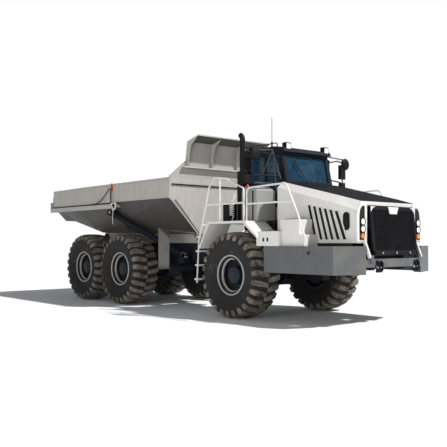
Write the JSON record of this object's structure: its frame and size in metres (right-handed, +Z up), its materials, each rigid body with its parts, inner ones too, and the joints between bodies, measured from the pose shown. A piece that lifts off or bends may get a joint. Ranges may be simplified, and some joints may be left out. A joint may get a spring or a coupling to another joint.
{
  "type": "articulated dump truck",
  "caption": "Articulated six-wheel dump truck with tipping body, hinged hood, grille, tailgate and cab door, turning wheels and a steering joint between front and rear frames.",
  "frame": {"origin": "on the ground, half way along the length and the width", "axes": "+X to the front, +Y to the left, +Z up"},
  "size_m": [11.59, 3.44, 4.4106],
  "materials": {
    "white_paint": "satin white paint, dusty",
    "body_paint": "satin off-white paint, worn and dusty",
    "grey_paint": "semi-gloss dark grey paint",
    "frame_paint": "dark blue-grey chassis paint",
    "black_steel": "satin black paint",
    "tyre": "matt rubber with brown dried mud",
    "rim_paint": "light grey wheel paint",
    "glass": "tinted safety glass",
    "chrome": "polished rod",
    "seat_fabric": "woven dark fabric",
    "engine_iron": "cast and painted metal",
    "mudflap_rubber": "dusty rubber sheet"
  },
  "bodies": {
    "front_frame": {"front_chassis": "frame_paint", "front_bumper": "grey_paint", "front_axle": "frame_paint", "engine_block": "engine_iron", "radiator": "black_steel", "deck_frame": "black_steel", "fender_right": "white_paint", "fender_left": "white_paint", "ladder_rail_right": "white_paint", "ladder_rail_left": "white_paint", "hood_rail_right": "white_paint", "hood_rail_left": "white_paint", "cab_shell": "frame_paint", "cab_roof": "frame_paint", "windscreen": "glass", "side_window": "glass", "rear_window": "glass", "operator_seat": "seat_fabric", "dash_console": "black_steel", "exhaust_stack": "black_steel", "service_tank": "grey_paint", "antenna": "black_steel", "mirror_right": "black_steel", "mirror_left": "black_steel"},
    "hood": {"hood": "white_paint"},
    "grille": {"grille": "black_steel"},
    "cab_door": {"cab_door": "frame_paint", "door_window": "glass"},
    "hitch": {"articulation_yoke": "frame_paint"},
    "rear_frame": {"rear_chassis": "frame_paint", "middle_axle": "frame_paint", "rear_axle": "frame_paint", "balance_beam_right": "frame_paint", "balance_beam_left": "frame_paint", "mudflap_right": "mudflap_rubber", "mudflap_left": "mudflap_rubber"},
    "dump_body": {"dump_body": "body_paint", "spill_guard": "body_paint"},
    "tailgate": {"tailgate": "body_paint"},
    "steer_barrel_right": {"steer_barrel_right": "black_steel"},
    "steer_rod_right": {"steer_rod_right": "chrome"},
    "hoist_barrel_right": {"hoist_barrel_right": "frame_paint"},
    "hoist_rod_right": {"hoist_rod_right": "chrome"},
    "steer_barrel_left": {"steer_barrel_left": "black_steel"},
    "steer_rod_left": {"steer_rod_left": "chrome"},
    "hoist_barrel_left": {"hoist_barrel_left": "frame_paint"},
    "hoist_rod_left": {"hoist_rod_left": "chrome"},
    "front_right_wheel": {"front_right_tyre": "tyre", "front_right_rim": "rim_paint"},
    "front_left_wheel": {"front_left_tyre": "tyre", "front_left_rim": "rim_paint"},
    "middle_right_wheel": {"middle_right_tyre": "tyre", "middle_right_rim": "rim_paint"},
    "middle_left_wheel": {"middle_left_tyre": "tyre", "middle_left_rim": "rim_paint"},
    "rear_right_wheel": {"rear_right_tyre": "tyre", "rear_right_rim": "rim_paint"},
    "rear_left_wheel": {"rear_left_tyre": "tyre", "rear_left_rim": "rim_paint"}
  },
  "joints": [
    {"name": "steer", "type": "hinge", "parent": "front_frame", "child": "hitch", "pos_m": [1.175, 0, 1.225], "axis": [0, 0, 1], "range_deg": [-45, 45]},
    {"name": "oscillation", "type": "hinge", "parent": "hitch", "child": "rear_frame", "pos_m": [1.175, 0, 1.225], "axis": [1, 0, 0], "range_deg": [-10, 10]},
    {"name": "bed_tip", "type": "hinge", "parent": "rear_frame", "child": "dump_body", "pos_m": [-4.425, 0, 1.8], "axis": [0, -1, 0], "range_deg": [0, 65]},
    {"name": "tailgate_swing", "type": "hinge", "parent": "dump_body", "child": "tailgate", "pos_m": [-2.035, 0, 2.61], "axis": [0, 1, 0], "range_deg": [0, 40]},
    {"name": "hood_tilt", "type": "hinge", "parent": "front_frame", "child": "hood", "pos_m": [5.725, 0, 1.37], "axis": [0, 1, 0], "range_deg": [0, 60]},
    {"name": "grille_drop", "type": "hinge", "parent": "front_frame", "child": "grille", "pos_m": [5.725, 0, 1.37], "axis": [0, 1, 0], "range_deg": [0, 85]},
    {"name": "cab_door_swing", "type": "hinge", "parent": "front_frame", "child": "cab_door", "pos_m": [2.295, 0.785, 2.2], "axis": [0, 0, 1], "range_deg": [0, 80]},
    {"name": "steer_barrel_right_turn", "type": "hinge", "parent": "front_frame", "child": "steer_barrel_right", "pos_m": [2.095, -0.34, 1.035], "axis": [0, 0, 1], "range_deg": [-5, 5]},
    {"name": "steer_rod_right_slide", "type": "slide", "parent": "steer_barrel_right", "child": "steer_rod_right", "axis": [-1, 0, 0], "range_m": [-0.25, 0.25]},
    {"name": "hoist_barrel_right_turn", "type": "hinge", "parent": "dump_body", "child": "hoist_barrel_right", "pos_m": [-2.375, -1.58, 2.45], "axis": [-0.1224, 0.9903, -0.0659], "range_deg": [0, 75]},
    {"name": "hoist_rod_right_slide", "type": "slide", "parent": "hoist_barrel_right", "child": "hoist_rod_right", "axis": [0.8294, 0.3395, -0.4436], "range_m": [0, 2.25]},
    {"name": "steer_barrel_left_turn", "type": "hinge", "parent": "front_frame", "child": "steer_barrel_left", "pos_m": [2.095, 0.34, 1.035], "axis": [0, 0, 1], "range_deg": [-5, 5]},
    {"name": "steer_rod_left_slide", "type": "slide", "parent": "steer_barrel_left", "child": "steer_rod_left", "axis": [-1, 0, 0], "range_m": [-0.25, 0.25]},
    {"name": "hoist_barrel_left_turn", "type": "hinge", "parent": "dump_body", "child": "hoist_barrel_left", "pos_m": [-2.375, 1.58, 2.45], "axis": [0.1224, 0.9903, 0.0659], "range_deg": [0, 75]},
    {"name": "hoist_rod_left_slide", "type": "slide", "parent": "hoist_barrel_left", "child": "hoist_rod_left", "axis": [0.8294, -0.3395, -0.4436], "range_m": [0, 2.25]},
    {"name": "front_right_wheel_spin", "type": "hinge", "parent": "front_frame", "child": "front_right_wheel", "pos_m": [2.625, -1.34, 0.935], "axis": [0, 1, 0], "continuous": true},
    {"name": "front_left_wheel_spin", "type": "hinge", "parent": "front_frame", "child": "front_left_wheel", "pos_m": [2.625, 1.34, 0.935], "axis": [0, 1, 0], "continuous": true},
    {"name": "middle_right_wheel_spin", "type": "hinge", "parent": "rear_frame", "child": "middle_right_wheel", "pos_m": [-1.855, -1.34, 0.935], "axis": [0, 1, 0], "continuous": true},
    {"name": "middle_left_wheel_spin", "type": "hinge", "parent": "rear_frame", "child": "middle_left_wheel", "pos_m": [-1.855, 1.34, 0.935], "axis": [0, 1, 0], "continuous": true},
    {"name": "rear_right_wheel_spin", "type": "hinge", "parent": "rear_frame", "child": "rear_right_wheel", "pos_m": [-3.805, -1.34, 0.935], "axis": [0, 1, 0], "continuous": true},
    {"name": "rear_left_wheel_spin", "type": "hinge", "parent": "rear_frame", "child": "rear_left_wheel", "pos_m": [-3.805, 1.34, 0.935], "axis": [0, 1, 0], "continuous": true}
  ],
  "couplings": [
    {"joint": "tailgate_swing", "follows": "bed_tip", "ratio": 0.6},
    {"joint": "steer_barrel_right_turn", "follows": "steer", "ratio": -0.0378},
    {"joint": "steer_rod_right_slide", "follows": "steer", "m_per_rad": -0.3042},
    {"joint": "hoist_barrel_right_turn", "follows": "bed_tip", "ratio": 1.0974},
    {"joint": "hoist_rod_right_slide", "follows": "bed_tip", "m_per_rad": 1.951},
    {"joint": "steer_barrel_left_turn", "follows": "steer", "ratio": -0.0378},
    {"joint": "steer_rod_left_slide", "follows": "steer", "m_per_rad": 0.3042},
    {"joint": "hoist_barrel_left_turn", "follows": "bed_tip", "ratio": 1.0974},
    {"joint": "hoist_rod_left_slide", "follows": "bed_tip", "m_per_rad": 1.951}
  ]
}
